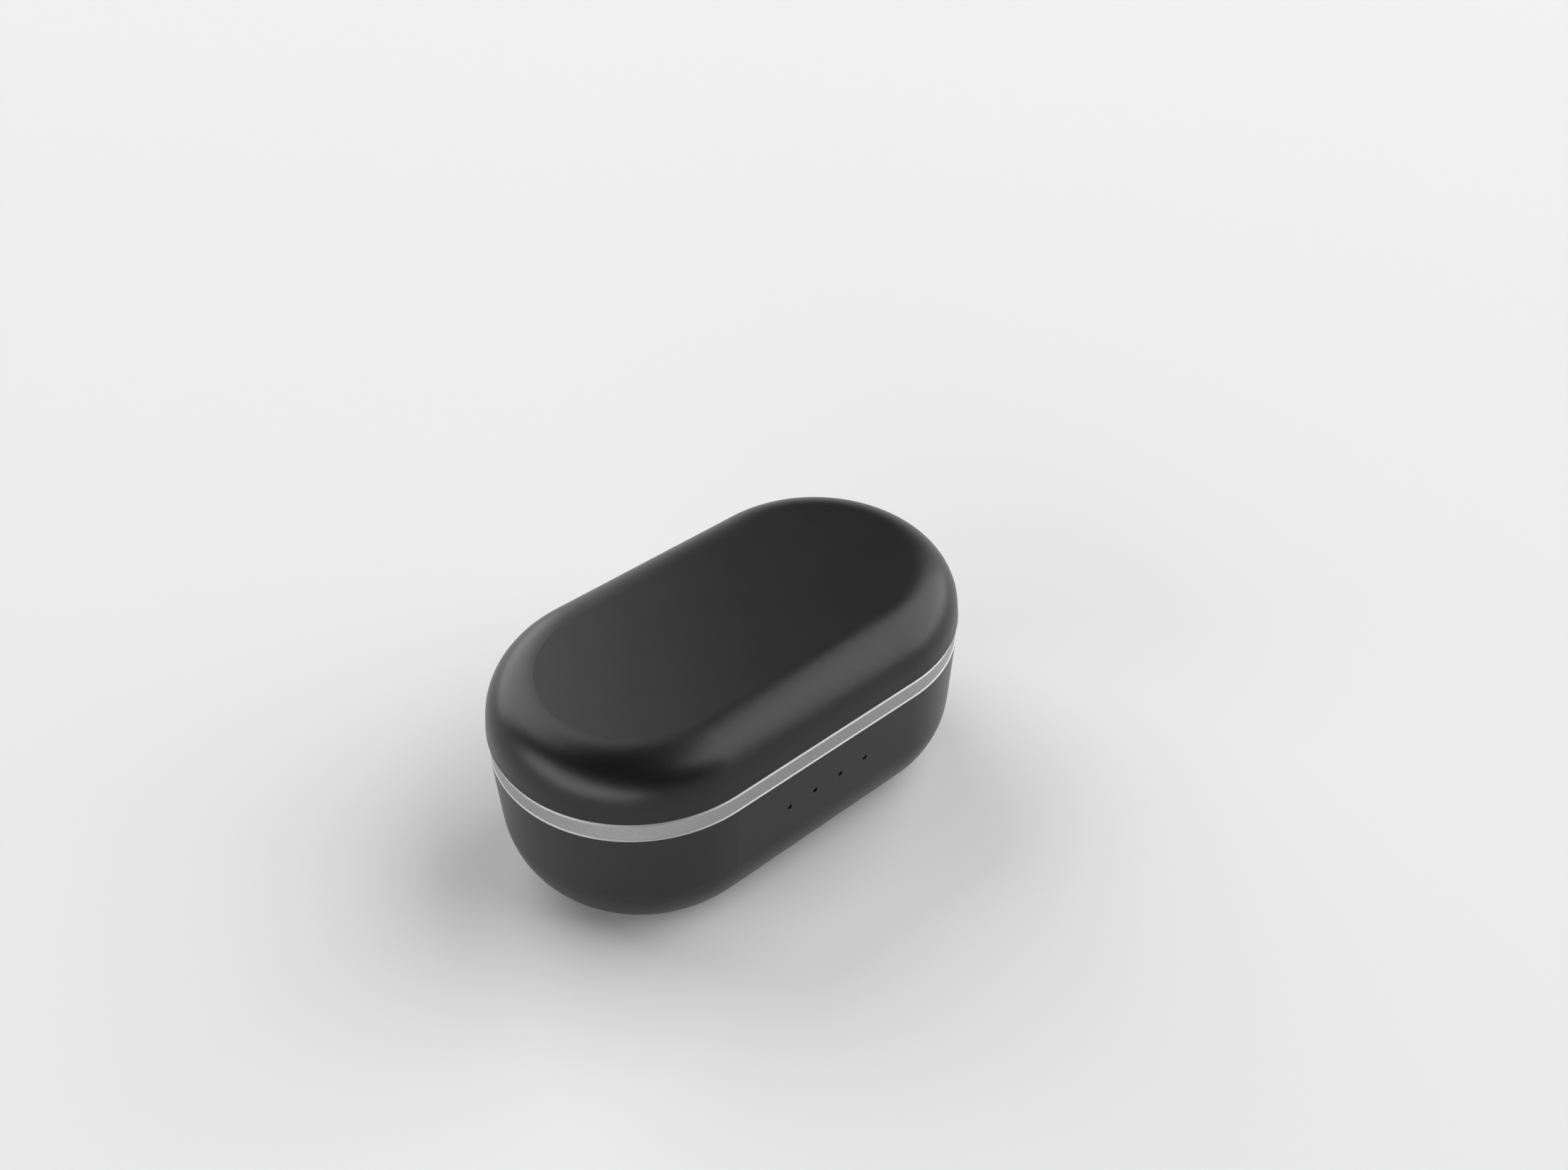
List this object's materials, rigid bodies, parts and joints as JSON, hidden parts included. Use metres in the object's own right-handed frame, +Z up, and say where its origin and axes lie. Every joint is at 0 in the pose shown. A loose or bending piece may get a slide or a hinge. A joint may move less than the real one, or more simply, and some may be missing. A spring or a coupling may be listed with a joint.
{
  "type": "wireless earbuds charging case",
  "caption": "Pill-shaped charging case for wireless earbuds: satin casing with a hinged lid, a metal trim ring, moulded wells and sprung contacts.",
  "frame": {"origin": "middle of the flat bottom, with the lid closed", "axes": "+X along the long side, +Y towards the hinge side (the front with the lamp holes faces -Y), +Z up"},
  "size_m": [0.065, 0.0366, 0.0286],
  "materials": {
    "casing": "satin near-black plastic with a very fine texture",
    "ring_metal": "fine bead-blasted gunmetal with polished edges",
    "inner_plastic": "matte black plastic",
    "steel": "plain stainless steel",
    "screw_steel": "blackened steel",
    "nickel": "nickel plate",
    "gold": "gold plate",
    "copper": "enamelled copper wire",
    "ferrite": "dull dark grey ferrite",
    "circuit_board": "solder resist over glass fibre",
    "chip_plastic": "moulded black epoxy",
    "ceramic": "fired ceramic",
    "clear_plastic": "clear moulded plastic",
    "lamp": "clear epoxy over phosphor",
    "cell_foil": "laminated foil",
    "foam": "fine closed-cell foam"
  },
  "bodies": {
    "base": {"base_shell": "casing", "battery_cell": "cell_foil", "battery_pad": "foam", "battery_tabs": "nickel", "board_screws": "screw_steel", "bracket_screws": "screw_steel", "bud_magnet_left": "nickel", "bud_magnet_right": "nickel", "capacitors": "ceramic", "charger_chip": "chip_plastic", "charging_coil": "copper", "coil_leads": "copper", "ferrite_sheet": "ferrite", "hinge_bracket": "steel", "hinge_pin": "steel", "hinge_spring_left": "steel", "hinge_spring_right": "steel", "lamp_chips": "lamp", "lid_sensor": "chip_plastic", "light_guide": "clear_plastic", "main_board": "circuit_board", "pogo_barrel_left_inner": "gold", "pogo_barrel_left_outer": "gold", "pogo_barrel_right_inner": "gold", "pogo_barrel_right_outer": "gold", "pogo_spring_left_inner": "steel", "pogo_spring_left_outer": "steel", "pogo_spring_right_inner": "steel", "pogo_spring_right_outer": "steel", "power_inductor": "ferrite", "processor_chip": "chip_plastic", "socket_shell": "steel", "socket_tongue": "chip_plastic", "tray": "inner_plastic", "tray_magnets": "nickel", "trim_ring": "ring_metal"},
    "lid": {"lid_shell": "casing", "lid_liner": "inner_plastic", "hinge_arm": "casing", "arm_screws": "screw_steel", "lid_magnets": "nickel"},
    "plunger_left_outer": {"pogo_plunger_left_outer": "gold"},
    "plunger_left_inner": {"pogo_plunger_left_inner": "gold"},
    "plunger_right_outer": {"pogo_plunger_right_outer": "gold"},
    "plunger_right_inner": {"pogo_plunger_right_inner": "gold"}
  },
  "joints": [
    {"name": "lid_hinge", "type": "hinge", "parent": "base", "child": "lid", "pos_m": [0, 0.01664, 0.01707], "axis": [-1, 0, 0], "range_deg": [0, 100], "deforming": ["hinge_spring_left", "hinge_spring_right"]},
    {"name": "press_left_outer", "type": "slide", "parent": "base", "child": "plunger_left_outer", "axis": [0, 0, -1], "range_m": [0, 0.0008], "stiffness_N_per_m": 250, "springref_m": -0.0012, "deforming": ["pogo_spring_left_outer"]},
    {"name": "press_left_inner", "type": "slide", "parent": "base", "child": "plunger_left_inner", "axis": [0, 0, -1], "range_m": [0, 0.0008], "stiffness_N_per_m": 250, "springref_m": -0.0012, "deforming": ["pogo_spring_left_inner"]},
    {"name": "press_right_outer", "type": "slide", "parent": "base", "child": "plunger_right_outer", "axis": [0, 0, -1], "range_m": [0, 0.0008], "stiffness_N_per_m": 250, "springref_m": -0.0012, "deforming": ["pogo_spring_right_outer"]},
    {"name": "press_right_inner", "type": "slide", "parent": "base", "child": "plunger_right_inner", "axis": [0, 0, -1], "range_m": [0, 0.0008], "stiffness_N_per_m": 250, "springref_m": -0.0012, "deforming": ["pogo_spring_right_inner"]}
  ]
}
